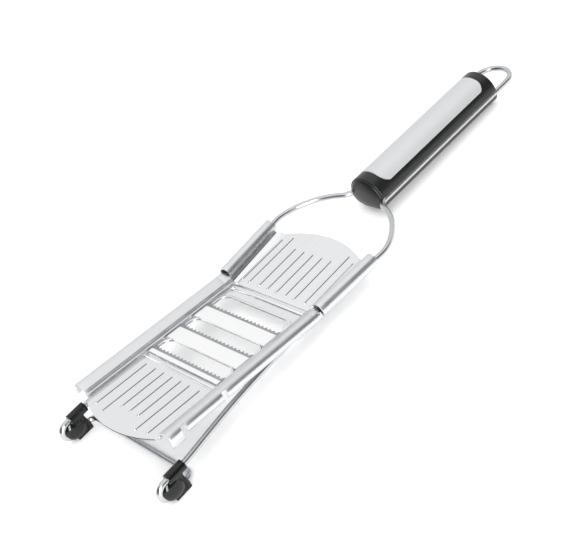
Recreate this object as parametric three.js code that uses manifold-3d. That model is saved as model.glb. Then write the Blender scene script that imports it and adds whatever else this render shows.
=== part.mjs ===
// Hand-held multi-blade slicer: a bent steel wire frame that carries a ribbed feed ramp,
// a rising bed with three serrated blades, a landing plate, two feet and an oval handle.
// Millimetres. +X runs from the feet to the handle, +Y to the left, +Z up. The slicer lies at
// rest on its two feet and on the rear edge of its handle, so the ground is z = 0.

import * as THREE from 'three';
import { mergeVertices } from 'three/addons/utils/BufferGeometryUtils.js';
import Module from 'manifold-3d';

const wasm = await Module();
wasm.setup();

// ---------------------------------------------------------------- driving dimensions

// Clearances
const touchGap = 0.3;
const wireClearance = 0.3;

// Wire frame
const wireDiameter = 3.8;
const legHeight = 13.6;
const footSwell = 5.1;
const shoulderSwell = 4.5;
const handleRodInset = 1.2;
const toeX = 2.5;
const waistX = 110;
const shoulderX = 187;
const crossbarX = 18.8;
const crossbarBend = 4.6;
const loopLength = 27;
const footHold = 6;
const handleHold = 8;
const rodSides = 12;

// Feet
const soleThickness = 1.5;
const footSleeveDiameter = 6.4;
const footSleeveEnd = 17.3;
const footSleeveLength = 12.3;
const footBlockStart = 3;
const footBlockEnd = 14.2;
const footBlockWidth = 6.4;
const footBlockTaper = 1.1;
const footBlockStep = 1.2;
const footBlockBelowRod = 2.4;
const footDomeX = 5.7;
const footDomeZ = 7.1;
const footDomeLength = 15;
const footDomeWidth = 9;
const footDomeHeight = 14.6;

// Sheet metal
const sheet = 0.8;
const rollClearance = 1.1;
const ledgeWidth = 4.4;
const ribWidth = 1.6;
const ribHeight = 0.5;

// Feed ramp
const seamX = 134.5;
const rampLength = 55.5;
const rampInset = 0.7;
const rampFlare = 1.2;
const rampHeight = 10.8;
const rampArcRise = 8.5;
const flangeWidth = 3.4;
const flangeRise = 2.3;
const rampRibPlaces = [0, 7.6, 15.2, 23.8, 30.2];
const rampRibLengths = [35.7, 35.7, 35.7, 43.2, 39.3];
const rampRibInset = 3.5;
const sleeveStart = 135.4;
const sleeveLength = 46.5;
const sleeveSplay = 3.2;
const sleeveWeb = 9.2;
const sleeveWebGap = 1;
const crossStripWidth = 4.2;

// Blade bed, rails and landing plate
const bedTilt = THREE.MathUtils.degToRad(8);
const bedSeamHeight = 10.5;
const bedWidth = 63.4;
const bedStart = 5.6;
const slotLength = 58;
const slotCorner = 4.2;
const slotOpenings = [10, 8.2, 8.2];
const firstEdge = 22.2;
const bladePitch = 22;
const lastPlatform = 6.5;
const bladeThickness = 0.9;
const bladeOverhang = 1.5;
const bladeBevel = 3.6;
const toothPitch = 3.2;
const toothDepth = 1.3;
const lowerStripWidth = 3;
const lowerStripRise = 0.3;
const railStart = 0.6;
const railShort = 9.7;
const railFlange = 5.4;
const ledgeHeight = 3.6;
const rollLift = 2.2;
const skirtDrop = 2.1;
const notchWidth = 3;
const notchesFromEnd = [10, 40];
const endTabDrop = 3;
const landingLength = 51;
const landingArcRise = 7.8;
const landingRibPlaces = [0, 7.6, 15.1, 23.7];
const landingRibLengths = [32.7, 32.7, 41.3, 39.1];
const landingRibInset = 3.8;

// Handle
const handleStart = 228.4;
const handleLength = 121.4;
const handleWidth = 27.6;
const handleRise = 14;
const handleDrop = 8.6;
const upperFullness = 2;
const lowerFullness = 2.7;
const shellWall = 2.2;
const capDepth = 2.8;
const capMargin = 1;
const inlayMargin = 7.8;
const inlayWidth = 23;
const inlayThickness = 0.8;
const inlayCorner = 5.5;
const screwDiameter = 3;
const screwLength = 12.2;
const screwHeadDiameter = 5.6;
const screwHeadHeight = 1.6;
const screwInset = 30;
const counterboreDepth = 3;
const pilotDepth = 8;
const upperBossRadius = 3.6;
const lowerBossRadius = 4.4;

// ---------------------------------------------------------------- derived places

const wireRadius = wireDiameter / 2;
const rollRadius = wireRadius + sheet + rollClearance;
const waistTrack = bedWidth + 2 * (ledgeWidth + rollRadius);
const footTrack = waistTrack + 2 * footSwell;
const shoulderTrack = waistTrack + 2 * shoulderSwell;
const rampWidth = bedWidth - 2 * rampInset;
const handleTrack = handleWidth - 2 * handleRodInset;
const lowerRunHeight = soleThickness + wireRadius;
const toeBendRadius = (legHeight - lowerRunHeight) / 2;
const toeBendHeight = (legHeight + lowerRunHeight) / 2;
const handleEnd = handleStart + handleLength;
const loopRadius = handleTrack / 2;
const loopCentre = handleEnd + loopLength - wireRadius - loopRadius;
const neckTilt = Math.asin((legHeight - handleDrop) / (handleEnd - shoulderX));
const frontX = toeX - toeBendRadius - wireRadius;
const rearX = shoulderX + (handleEnd + loopLength - shoulderX) * Math.cos(neckTilt);
const sleeveHeight = legHeight + rollRadius - sheet - wireRadius - touchGap;
const sleeveMiddle = sleeveStart + sleeveLength / 2;
const bladeCount = slotOpenings.length;
const bedEnd = firstEdge + (bladeCount - 1) * bladePitch + lastPlatform;
const landingStart = bedEnd + touchGap + lowerStripWidth + touchGap;
const railLength = landingStart + landingLength - railShort - railStart;
const sides = [['left', 1], ['right', -1]];

// ---------------------------------------------------------------- materials

const brightWire = new THREE.MeshStandardMaterial({ color: 0xd4d6d8, roughness: 0.18, metalness: 1 });
const sheetSteel = new THREE.MeshStandardMaterial({ color: 0xdfe0e1, roughness: 0.32, metalness: 1 });
const bladeSteel = new THREE.MeshStandardMaterial({ color: 0xc9cccf, roughness: 0.24, metalness: 1 });
const satinSteel = new THREE.MeshStandardMaterial({ color: 0xc8c9ca, roughness: 0.42, metalness: 1 });
const blackShell = new THREE.MeshStandardMaterial({ color: 0x17181a, roughness: 0.28, metalness: 0 });
const blackFoot = new THREE.MeshStandardMaterial({ color: 0x141516, roughness: 0.35, metalness: 0 });

// ---------------------------------------------------------------- shape tools

function toSolid(geometry) {
  const bare = geometry.clone();
  bare.deleteAttribute('normal');
  bare.deleteAttribute('uv');
  const welded = mergeVertices(bare, 1e-4);
  return new wasm.Manifold(new wasm.Mesh({
    numProp: 3,
    vertProperties: new Float32Array(welded.attributes.position.array),
    triVerts: new Uint32Array(welded.index.array),
  }));
}

function toGeometry(solid) {
  const mesh = solid.getMesh();
  const geometry = new THREE.BufferGeometry();
  geometry.setAttribute('position', new THREE.BufferAttribute(mesh.vertProperties, 3));
  geometry.setIndex(new THREE.BufferAttribute(mesh.triVerts, 1));
  return geometry;
}

function piece(parent, name, shape, material) {
  const geometry = shape.isBufferGeometry ? shape : toGeometry(shape);
  const mesh = new THREE.Mesh(geometry, material);
  mesh.name = name;
  parent.add(mesh);
  return mesh;
}

function join(solids) {
  return solids.reduce((sum, solid) => sum.add(solid));
}

function shapeOf(points) {
  return new THREE.Shape(points.map(([x, y]) => new THREE.Vector2(x, y)));
}

// A plan outline raised from z = bottom.
function slab(shape, bottom, thickness) {
  const options = { depth: thickness, bevelEnabled: false, curveSegments: 10 };
  return toSolid(new THREE.ExtrudeGeometry(shape, options).translate(0, 0, bottom));
}

// A cross-section drawn as (y, z), run along +X from x = start.
function runAlongX(shape, start, length) {
  const geometry = new THREE.ExtrudeGeometry(shape, { depth: length, bevelEnabled: false });
  const turn = new THREE.Matrix4().makeBasis(
    new THREE.Vector3(0, 1, 0), new THREE.Vector3(0, 0, 1), new THREE.Vector3(1, 0, 0));
  return toSolid(geometry.applyMatrix4(turn).translate(start, 0, 0));
}

// A side view drawn as (x, z), run along Y with its middle at y.
function runAlongY(shape, y, width) {
  const geometry = new THREE.ExtrudeGeometry(shape, { depth: width, bevelEnabled: false });
  return toSolid(geometry.rotateX(Math.PI / 2).translate(0, y + width / 2, 0));
}

function box(x, y, z, length, width, height) {
  return toSolid(new THREE.BoxGeometry(length, width, height).translate(x, y, z));
}

function pillar(x, y, bottom, radius, height) {
  const geometry = new THREE.CylinderGeometry(radius, radius, height, 20);
  return toSolid(geometry.rotateX(Math.PI / 2).translate(x, y, bottom + height / 2));
}

// A strip of sheet: a centre line of (y, z) points made as thick as the sheet.
function sheetStrip(line, thickness) {
  const half = thickness / 2;
  const offset = (index, side) => {
    const before = line[Math.max(index - 1, 0)];
    const after = line[Math.min(index + 1, line.length - 1)];
    const here = line[index];
    const into = new THREE.Vector2(here[0] - before[0], here[1] - before[1]).normalize();
    const out = new THREE.Vector2(after[0] - here[0], after[1] - here[1]).normalize();
    const along = index === 0 ? out : index === line.length - 1 ? into : into.clone().add(out).normalize();
    const reach = half / Math.max(Math.abs(along.dot(index === 0 ? out : into)), 0.5);
    return [here[0] - side * along.y * reach, here[1] + side * along.x * reach];
  };
  const upper = line.map((point, index) => offset(index, 1));
  const lower = line.map((point, index) => offset(index, -1));
  return [...upper, ...lower.reverse()];
}

function arcPoints(centreY, centreZ, radius, fromDegrees, toDegrees, steps) {
  return Array.from({ length: steps + 1 }, (unused, step) => {
    const angle = THREE.MathUtils.degToRad(fromDegrees + (toDegrees - fromDegrees) * step / steps);
    return [centreY + radius * Math.cos(angle), centreZ + radius * Math.sin(angle)];
  });
}

function roundSection(centreY, centreZ, radius, sides) {
  return shapeOf(arcPoints(centreY, centreZ, radius, 0, 360 - 360 / sides, sides - 1));
}

function mirrored(points, side) {
  return points.map(([y, z]) => [y * side, z]);
}

// A round bar along a curve.
function bar(curve, radius, steps) {
  const section = roundSection(0, 0, radius, rodSides);
  return toSolid(new THREE.ExtrudeGeometry(section, { steps, extrudePath: curve, bevelEnabled: false }));
}

class ArcCurve extends THREE.Curve {
  constructor(centre, radius, across, along, from, to) {
    super();
    Object.assign(this, { centre, radius, across, along, from, to });
  }

  getPoint(t) {
    const angle = this.from + (this.to - this.from) * t;
    return this.centre.clone()
      .addScaledVector(this.across, this.radius * Math.cos(angle))
      .addScaledVector(this.along, this.radius * Math.sin(angle));
  }
}

function route(curves) {
  const path = new THREE.CurvePath();
  curves.forEach((curve) => path.add(curve));
  return path;
}

function straight(from, to) {
  return new THREE.LineCurve3(from, to);
}

const point = (x, y, z) => new THREE.Vector3(x, y, z);
const alongX = point(1, 0, 0);
const alongY = point(0, 1, 0);
const alongZ = point(0, 0, 1);

// ---------------------------------------------------------------- groups

const slicer = new THREE.Group();
slicer.position.x = -(frontX + rearX) / 2;

// The neck, handle and loop lie in a plane that slopes down from the shoulder of the frame.
const neck = new THREE.Group();
neck.position.set(shoulderX, 0, legHeight);
neck.rotation.y = neckTilt;
slicer.add(neck);

// The bed rises from the seam towards the feet; its own x runs down to the seam at x = 0.
const bed = new THREE.Group();
bed.position.set(seamX, 0, bedSeamHeight);
bed.rotation.y = bedTilt;
slicer.add(bed);

// ---------------------------------------------------------------- wire frame

// The rod is one bent bar. It is parted inside the sleeves, feet and handle, so that every
// length of it is a simple bar. In a sleeve it runs straight along the sleeve's own line.
function sleeveY(x) {
  return waistTrack / 2 + touchGap + sleeveSplay * (x - sleeveStart) / sleeveLength;
}

function legCurve(side) {
  return new THREE.CatmullRomCurve3([
    point(sleeveMiddle - touchGap, side * sleeveY(sleeveMiddle), legHeight),
    point(sleeveStart + 2, side * sleeveY(sleeveStart + 2), legHeight),
    point(waistX, side * waistTrack / 2, legHeight),
    point(84, side * (waistTrack / 2 + 0.1), legHeight),
    point(62, side * (waistTrack / 2 + 1), legHeight),
    point(40, side * (footTrack / 2 - 2.2), legHeight),
    point(footSleeveEnd + 2, side * footTrack / 2, legHeight),
    point(footSleeveEnd - footHold, side * footTrack / 2, legHeight),
  ]);
}

// The shoulder swings out of the sleeve and in to the side of the handle, in the neck's plane.
function neckCurve(side) {
  const shoulder = shoulderTrack / 2;
  const groove = handleTrack / 2;
  const outline = [
    [sleeveMiddle - shoulderX, sleeveY(sleeveMiddle)],
    [sleeveMiddle + sleeveLength * 0.4 - shoulderX, sleeveY(sleeveMiddle + sleeveLength * 0.4)],
    [-2, shoulder - 0.2],
    [4.6, shoulder - 0.1],
    [13.5, shoulder - 3],
    [21.5, shoulder - 7.9],
    [28.5, shoulder - 14],
    [34.2, shoulder - 22],
    [37.4, shoulder - 28],
    [handleStart - shoulderX - 0.8, groove + 0.9],
    [handleStart - shoulderX + 3, groove],
    [handleStart - shoulderX + handleHold, groove],
  ];
  const drop = Math.tan(neckTilt);
  return new THREE.CatmullRomCurve3(outline.map(([x, y]) => point(x, side * y, x < 0 ? x * drop : 0)));
}

const loopInner = handleStart - shoulderX + handleHold + touchGap;

function loopCurve() {
  const reach = handleTrack / 2;
  const bend = loopCentre - shoulderX;
  return route([
    straight(point(loopInner, reach, 0), point(bend, reach, 0)),
    new ArcCurve(point(bend, 0, 0), reach, alongX, alongY, Math.PI / 2, -Math.PI / 2),
    straight(point(bend, -reach, 0), point(loopInner, -reach, 0)),
  ]);
}

function toeCurve(side) {
  const y = side * footTrack / 2;
  return route([
    straight(point(footSleeveEnd - footHold - touchGap, y, legHeight), point(toeX, y, legHeight)),
    new ArcCurve(point(toeX, y, toeBendHeight), toeBendRadius, alongX, alongZ, Math.PI / 2, Math.PI * 1.5),
    straight(point(toeX, y, lowerRunHeight), point(footBlockEnd - footHold, y, lowerRunHeight)),
  ]);
}

function crossbarCurve() {
  const reach = footTrack / 2;
  const startX = footBlockEnd - footHold + touchGap;
  const bendX = crossbarX - crossbarBend;
  const bendY = reach - crossbarBend;
  const z = lowerRunHeight;
  return route([
    straight(point(startX, reach, z), point(bendX, reach, z)),
    new ArcCurve(point(bendX, bendY, z), crossbarBend, alongX, alongY, Math.PI / 2, 0),
    straight(point(crossbarX, bendY, z), point(crossbarX, -bendY, z)),
    new ArcCurve(point(bendX, -bendY, z), crossbarBend, alongX, alongY, 0, -Math.PI / 2),
    straight(point(bendX, -reach, z), point(startX, -reach, z)),
  ]);
}

piece(neck, 'hanging_loop_wire', bar(loopCurve(), wireRadius, 44), brightWire);
piece(slicer, 'crossbar_wire', bar(crossbarCurve(), wireRadius, 40), brightWire);
for (const [name, side] of sides) {
  piece(neck, `${name}_neck_wire`, bar(neckCurve(side), wireRadius, 40), brightWire);
  piece(slicer, `${name}_leg_wire`, bar(legCurve(side), wireRadius, 30), brightWire);
  piece(slicer, `${name}_toe_wire`, bar(toeCurve(side), wireRadius, 24), brightWire);
}

// ---------------------------------------------------------------- feet

// A moulded foot: a sleeve on the upper run of the wire, a domed cheek that fills the toe bend,
// and a block with a flat sole round the lower run.
function foot(side) {
  const y = side * footTrack / 2;
  const bore = wireRadius + wireClearance;
  const throughLength = 2 * footHold;
  const blockTop = legHeight - footBlockBelowRod;
  const sleeveShape = roundSection(y, legHeight, footSleeveDiameter / 2, 2 * rodSides - 1);
  const sleeve = runAlongX(sleeveShape, footSleeveEnd - footSleeveLength, footSleeveLength);
  const block = runAlongY(shapeOf([
    [footBlockStart, 0],
    [footBlockEnd, 0],
    [footBlockEnd, lowerRunHeight + footBlockStep],
    [footBlockEnd - footBlockTaper, blockTop],
    [footBlockStart, blockTop],
  ]), y, footBlockWidth);
  const ball = new THREE.SphereGeometry(1, 28, 20);
  ball.scale(footDomeLength / 2, footDomeWidth / 2, footDomeHeight / 2).translate(footDomeX, y, footDomeZ);
  const channel = bar(toeCurve(side), bore, 24);
  const upperStart = footSleeveEnd - footHold - wireDiameter;
  const lowerStart = footBlockEnd - footHold - wireRadius;
  const upperBore = runAlongX(roundSection(y, legHeight, bore, rodSides), upperStart, throughLength);
  const lowerBore = runAlongX(roundSection(y, lowerRunHeight, bore, rodSides), lowerStart, throughLength);
  const aboveGround = box(footDomeX, y, legHeight, 2 * footDomeLength, 2 * footDomeWidth, 2 * legHeight);
  const dome = toSolid(ball).intersect(aboveGround);
  return join([sleeve, block, dome]).subtract(join([channel, upperBore, lowerBore]));
}

for (const [name, side] of sides) {
  piece(slicer, `${name}_foot`, foot(side), blackFoot);
}

// ---------------------------------------------------------------- ribbed plates

// A raised rib with round ends and sloping flanks, pressed up out of a plate.
function rib(fromX, toX, y, top) {
  const half = ribWidth / 2;
  const shape = new THREE.Shape();
  shape.absarc(toX - half, y, half, -Math.PI / 2, Math.PI / 2, false);
  shape.absarc(fromX + half, y, half, Math.PI / 2, Math.PI * 1.5, false);
  return slab(shape, top - sheet / 2, sheet / 2 + ribHeight);
}

// Ribs in mirrored pairs: they start in line at x = start and run along +X or -X.
function ribRow(places, lengths, start, direction, top) {
  return places.flatMap((place, index) => {
    const end = start + direction * lengths[index];
    const lines = place === 0 ? [0] : [place, -place];
    return lines.map((y) => rib(Math.min(start, end), Math.max(start, end), y, top));
  });
}

// The ramp is a shallow tray: a flat ribbed floor, an arched front edge, two flared sides.
function rampPlate() {
  const start = seamX - touchGap;
  const narrow = rampWidth / 2;
  const wide = narrow + rampFlare;
  const arcRadius = (wide * wide + rampArcRise * rampArcRise) / (2 * rampArcRise);
  const reach = Math.asin(wide / arcRadius);
  const apex = seamX + rampLength;
  const outline = new THREE.Shape();
  outline.moveTo(start, -narrow);
  outline.absarc(apex - arcRadius, 0, arcRadius, -reach, reach, false);
  outline.lineTo(start, narrow);
  const floor = slab(outline, rampHeight - sheet, sheet);
  const flanges = sides.map(([name, side]) => {
    const ends = [
      [seamX + 1, narrow - sheet, flangeWidth, flangeRise / 3],
      [apex - rampArcRise, wide - sheet, flangeWidth + rampFlare, flangeRise],
    ];
    return wasm.Manifold.hull(ends.flatMap(([x, y, width, rise]) => [
      [x, side * y, rampHeight - sheet],
      [x, side * y, rampHeight],
      [x, side * (y + width), rampHeight - sheet + rise],
      [x, side * (y + width), rampHeight + rise],
    ]));
  });
  const ribs = ribRow(rampRibPlaces, rampRibLengths, seamX + rampRibInset, 1, rampHeight);
  return join([floor, ...flanges, ...ribs]);
}

piece(slicer, 'ramp_plate', rampPlate(), sheetSteel);

// The landing plate takes the cut food; its lower edge is arched too.
function landingPlate() {
  const half = bedWidth / 2;
  const arcRadius = (half * half + landingArcRise * landingArcRise) / (2 * landingArcRise);
  const reach = Math.asin(half / arcRadius);
  const outline = new THREE.Shape();
  outline.moveTo(-landingStart, half);
  const middle = arcRadius - landingStart - landingLength;
  outline.absarc(middle, 0, arcRadius, Math.PI - reach, Math.PI + reach, false);
  outline.lineTo(-landingStart, -half);
  const floor = slab(outline, -sheet, sheet);
  const ribs = ribRow(landingRibPlaces, landingRibLengths, -landingStart - landingRibInset, -1, 0);
  return join([floor, ...ribs]);
}

piece(bed, 'landing_plate', landingPlate(), sheetSteel);

// ---------------------------------------------------------------- blade bed and blades

function bladeEdge(index) {
  return -firstEdge - index * bladePitch;
}

function slotFront(index) {
  return bladeEdge(index) + slotOpenings[index];
}

// The bed sheet has one round-ended slot in front of each blade.
function bladeBed() {
  const half = bedWidth / 2;
  const outline = shapeOf([[-bedStart, -half], [-bedStart, half], [-bedEnd, half], [-bedEnd, -half]]);
  slotOpenings.forEach((opening, index) => {
    const front = slotFront(index) - slotCorner;
    const back = bladeEdge(index) - bladeBevel + slotCorner;
    const end = slotLength / 2 - slotCorner;
    const hole = new THREE.Path();
    hole.moveTo(front + slotCorner, -end);
    hole.absarc(front, end, slotCorner, 0, Math.PI / 2, false);
    hole.absarc(back, end, slotCorner, Math.PI / 2, Math.PI, false);
    hole.absarc(back, -end, slotCorner, Math.PI, Math.PI * 1.5, false);
    hole.absarc(front, -end, slotCorner, Math.PI * 1.5, Math.PI * 2, false);
    outline.holes.push(hole);
  });
  return slab(outline, -sheet, sheet);
}

piece(bed, 'blade_bed', bladeBed(), sheetSteel);

// A blade is a flat strip on the bed with a serrated front edge, ground to a long bevel.
function blade(index) {
  const edge = bladeEdge(index);
  const back = index === bladeCount - 1 ? -bedEnd : slotFront(index + 1);
  const half = slotLength / 2 + bladeOverhang;
  const teeth = Math.round(slotLength / toothPitch);
  const pitch = slotLength / teeth;
  const outline = [[back, half], [back, -half], [edge - toothDepth, -half]];
  for (let tooth = 0; tooth < teeth; tooth += 1) {
    const start = -slotLength / 2 + tooth * pitch;
    outline.push([edge - toothDepth, start], [edge, start + pitch / 2]);
  }
  outline.push([edge - toothDepth, slotLength / 2], [edge - toothDepth, half]);
  const strip = slab(shapeOf(outline), touchGap, bladeThickness);
  const top = touchGap + bladeThickness;
  const bevel = runAlongY(shapeOf([
    [edge - bladeBevel, top], [edge + 1, touchGap], [edge + 1, top + 1], [edge - bladeBevel, top + 1],
  ]), 0, bedWidth);
  return strip.subtract(bevel);
}

slotOpenings.forEach((opening, index) => {
  piece(bed, `blade_${index + 1}`, blade(index), bladeSteel);
});

// Narrow strips close the joint of the ramp and the bed, and of the bed and the landing plate.
piece(slicer, 'upper_cross_strip', box(
  seamX - 2 * touchGap - crossStripWidth / 2, 0, rampHeight,
  crossStripWidth, rampWidth - 2 * sheet, sheet * 2), sheetSteel);
piece(bed, 'lower_cross_strip', box(
  -bedEnd - touchGap - lowerStripWidth / 2, 0, (lowerStripRise - sheet) / 2,
  lowerStripWidth, bedWidth, lowerStripRise + sheet), sheetSteel);

// ---------------------------------------------------------------- rails and ramp sleeves

// Each rail is a strip bent up from a flange under the bed, out over a ledge and down round a
// roll that hides the wire. Two notches in the skirt hook on the rim of a bowl.
const railY = waistTrack / 2 + touchGap;

function rail(side) {
  const half = sheet / 2;
  const wallY = bedWidth / 2 + touchGap + half;
  const ledgeZ = ledgeHeight - half;
  const radius = rollRadius - half;
  const meet = 180 - THREE.MathUtils.radToDeg(Math.asin((ledgeZ - rollLift) / radius));
  const lip = -THREE.MathUtils.radToDeg(Math.asin(skirtDrop / radius));
  const flangeZ = -sheet - touchGap - half;
  const line = [
    [wallY - railFlange, flangeZ], [wallY, flangeZ], [wallY, ledgeZ],
    ...arcPoints(railY, rollLift, radius, meet, lip, 14),
  ];
  const end = railStart + railLength;
  const body = runAlongX(shapeOf(mirrored(sheetStrip(line, sheet), side)), -end, railLength);
  const notches = notchesFromEnd.map((place) => (
    box(place - end, side * (railY + rollRadius), rollLift, notchWidth, 2 * rollRadius, 3 * rollRadius)));
  const flangeRelief = box(0, side * (wallY - half - railFlange), flangeZ, 2 * bedStart,
    2 * railFlange, 2 * sheet);
  const tabLength = notchesFromEnd[0] - notchWidth / 2;
  const tabHeight = endTabDrop + rollLift;
  const tab = box(tabLength / 2 - end, side * (railY + radius), rollLift - tabHeight / 2,
    tabLength, sheet, tabHeight);
  return body.subtract(join([...notches, flangeRelief])).add(tab);
}

// A sleeve is a strip rolled round the wire beside the ramp, with a web under the ramp's floor.
function rampSleeve(side) {
  const half = sheet / 2;
  const radius = rollRadius - half;
  const rise = sleeveHeight - rampHeight;
  const webZ = -sheet - touchGap - half;
  const webEnd = -rollRadius - sleeveWebGap;
  const line = [[webEnd - sleeveWeb, webZ], [webEnd, webZ], ...arcPoints(0, rise, radius, -104, 196, 20)];
  return runAlongX(shapeOf(mirrored(sheetStrip(line, sheet), side)), 0, sleeveLength);
}

for (const [name, side] of sides) {
  piece(bed, `${name}_rail`, rail(side), sheetSteel);
  const sleeve = piece(slicer, `${name}_ramp_sleeve`, rampSleeve(side), sheetSteel);
  sleeve.position.set(sleeveStart, side * sleeveY(sleeveStart), rampHeight);
  sleeve.rotation.z = side * Math.atan2(sleeveSplay, sleeveLength);
}

// ---------------------------------------------------------------- handle

// Oval handle, drawn in the neck's frame, where z = 0 is the plane of the wire. The upper shell
// is the deeper one, the lower one has a fuller section. Both are hollow and clamp the wire in
// grooves along their seam.
const handleX = handleStart - shoulderX;
const seamGap = touchGap / 2;

function halfOval(width, depth, up) {
  const direction = up ? 1 : -1;
  const power = 2 / (up ? upperFullness : lowerFullness);
  const curve = arcPoints(0, 0, 1, 0, 180, 28);
  return shapeOf(curve.map(([y, z]) => [
    Math.sign(y) * Math.abs(y) ** power * width / 2,
    direction * Math.max(Math.abs(z) ** power * depth, seamGap),
  ]));
}

function wireGrooves() {
  const channel = wireRadius + wireClearance;
  return join(sides.flatMap(([name, side]) => [
    bar(neckCurve(side), channel, 40),
    runAlongX(roundSection(side * handleTrack / 2, 0, channel, rodSides),
      handleX + handleHold / 2, handleLength),
  ]));
}

function screwPlaces() {
  return [handleX + screwInset, handleX + handleLength - screwInset];
}

function inlayPlan(margin) {
  const left = handleX + inlayMargin - margin;
  const right = handleX + handleLength - inlayMargin + margin;
  const half = inlayWidth / 2 + margin;
  const corner = inlayCorner + margin;
  const plan = new THREE.Shape();
  plan.moveTo(right, -half + corner);
  plan.absarc(right - corner, half - corner, corner, 0, Math.PI / 2, false);
  plan.absarc(left + corner, half - corner, corner, Math.PI / 2, Math.PI, false);
  plan.absarc(left + corner, -half + corner, corner, Math.PI, Math.PI * 1.5, false);
  plan.absarc(right - corner, -half + corner, corner, Math.PI * 1.5, Math.PI * 2, false);
  return slab(plan, 2, handleRise);
}

// The band between the handle's surface and a depth below it.
function skin(depth, proud) {
  const outer = halfOval(handleWidth + 2 * proud, handleRise + proud, true);
  const inner = halfOval(handleWidth - 2 * depth, handleRise - depth, true);
  return runAlongX(outer, handleX, handleLength).subtract(runAlongX(inner, handleX - 1, handleLength + 2));
}

function upperShell() {
  const outer = runAlongX(halfOval(handleWidth, handleRise, true), handleX, handleLength);
  const hollow = halfOval(handleWidth - 2 * shellWall, handleRise - shellWall, true);
  const inside = runAlongX(hollow, handleX + shellWall, handleLength - 2 * shellWall)
    .add(box(handleX + handleLength / 2, 0, 0, handleLength - 2 * shellWall,
      handleWidth - 2 * shellWall, 2 * touchGap));
  const bosses = screwPlaces().map((x) => pillar(x, 0, seamGap, upperBossRadius, handleRise));
  const pilots = screwPlaces().map((x) => pillar(x, 0, -1, screwDiameter / 2 + touchGap, pilotDepth + 1));
  const recess = skin(inlayThickness + touchGap, 1).intersect(inlayPlan(touchGap));
  const section = halfOval(handleWidth - shellWall, handleRise - shellWall / 2, true);
  const within = runAlongX(section, handleX, handleLength);
  return outer.subtract(inside).add(join(bosses).intersect(within))
    .subtract(join([...pilots, recess, wireGrooves()]));
}

function lowerShell() {
  const outer = runAlongX(halfOval(handleWidth, handleDrop, false), handleX, handleLength);
  const hollow = halfOval(handleWidth - 2 * shellWall, handleDrop - shellWall, false);
  const inside = runAlongX(hollow, handleX + shellWall, handleLength - 2 * shellWall)
    .add(box(handleX + handleLength / 2, 0, 0, handleLength - 2 * shellWall,
      handleWidth - 2 * shellWall, 2 * touchGap));
  const bosses = screwPlaces().map((x) => pillar(x, 0, -handleDrop + shellWall / 2, lowerBossRadius,
    handleDrop - shellWall / 2 - seamGap));
  const holes = screwPlaces().flatMap((x) => [
    pillar(x, 0, -handleDrop - 1, screwDiameter / 2 + touchGap, handleDrop + 2),
    pillar(x, 0, -handleDrop - 1, screwHeadDiameter / 2 + touchGap, counterboreDepth + 1),
  ]);
  return outer.subtract(inside).add(join(bosses)).subtract(join([...holes, wireGrooves()]));
}

function frontCap() {
  const dome = new THREE.SphereGeometry(1, 32, 20);
  dome.scale(capDepth, handleWidth / 2 - capMargin, 1);
  const positions = dome.attributes.position;
  for (let index = 0; index < positions.count; index += 1) {
    const z = positions.getZ(index);
    positions.setZ(index, z * ((z > 0 ? handleRise : handleDrop) - capMargin));
  }
  const face = handleX - touchGap;
  const keep = box(face - capDepth, 0, 0, 2 * capDepth, handleWidth * 2, handleWidth * 2);
  return toSolid(dome.translate(face, 0, 0)).intersect(keep).subtract(wireGrooves());
}

function screw(x) {
  const seat = -handleDrop + counterboreDepth - touchGap;
  return join([
    pillar(x, 0, seat - screwHeadHeight, screwHeadDiameter / 2, screwHeadHeight),
    pillar(x, 0, seat - touchGap, screwDiameter / 2, screwLength + touchGap),
  ]);
}

piece(neck, 'handle_upper_shell', upperShell(), blackShell);
piece(neck, 'handle_lower_shell', lowerShell(), blackShell);
piece(neck, 'handle_inlay', skin(inlayThickness, 0.1).intersect(inlayPlan(0)), satinSteel);
piece(neck, 'handle_front_cap', frontCap(), blackShell);
screwPlaces().forEach((x, index) => {
  piece(neck, `handle_screw_${['front', 'rear'][index]}`, screw(x), satinSteel);
});

export default slicer;
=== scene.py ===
# Hand-held slicer on a bent steel rod: feed ramp, raised blades, landing plate, two feet and an
# oval handle. It lies on its soles and on the rear edge of the handle. Sizes are in millimetres.
import math

import bmesh
import bpy
from mathutils import Matrix, Vector


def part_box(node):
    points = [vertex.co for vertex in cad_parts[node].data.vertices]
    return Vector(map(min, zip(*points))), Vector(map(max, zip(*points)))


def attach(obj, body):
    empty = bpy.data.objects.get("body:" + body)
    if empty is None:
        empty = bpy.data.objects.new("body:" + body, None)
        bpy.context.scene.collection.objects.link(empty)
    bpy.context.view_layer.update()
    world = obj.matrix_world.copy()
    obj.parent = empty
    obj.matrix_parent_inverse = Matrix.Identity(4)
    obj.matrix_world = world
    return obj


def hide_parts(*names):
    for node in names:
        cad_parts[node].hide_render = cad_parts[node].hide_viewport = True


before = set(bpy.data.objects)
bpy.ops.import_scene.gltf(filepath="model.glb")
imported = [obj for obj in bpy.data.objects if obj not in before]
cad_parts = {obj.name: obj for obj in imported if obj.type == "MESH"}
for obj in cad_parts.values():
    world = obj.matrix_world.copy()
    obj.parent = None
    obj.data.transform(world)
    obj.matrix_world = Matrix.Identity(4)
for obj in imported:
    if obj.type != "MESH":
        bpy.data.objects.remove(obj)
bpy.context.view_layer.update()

# ------------------------------------------------------------------------------ frame rod
# One 3.8 mm stainless rod, drawn, polished and bent cold into a closed loop: crossbar, two toe
# bends, two legs, the shoulders of the neck and the hanging loop behind the handle. Its ends are
# butted where the handle hides them.
MM = 0.001
WIRE = 1.9              # the rod's radius
LEG_HEIGHT = 13.6       # centre of the rod's upper run
FOOT_Y = 45.0
WAIST_Y = 39.9
ROLL_Y = WAIST_Y + 0.3  # middle of the rolls that grip the rod
SLEEVE_START = 135.4
SLEEVE_LENGTH = 46.5
SLEEVE_SPLAY = 3.2      # how far the rod moves out along a sleeve
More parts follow.
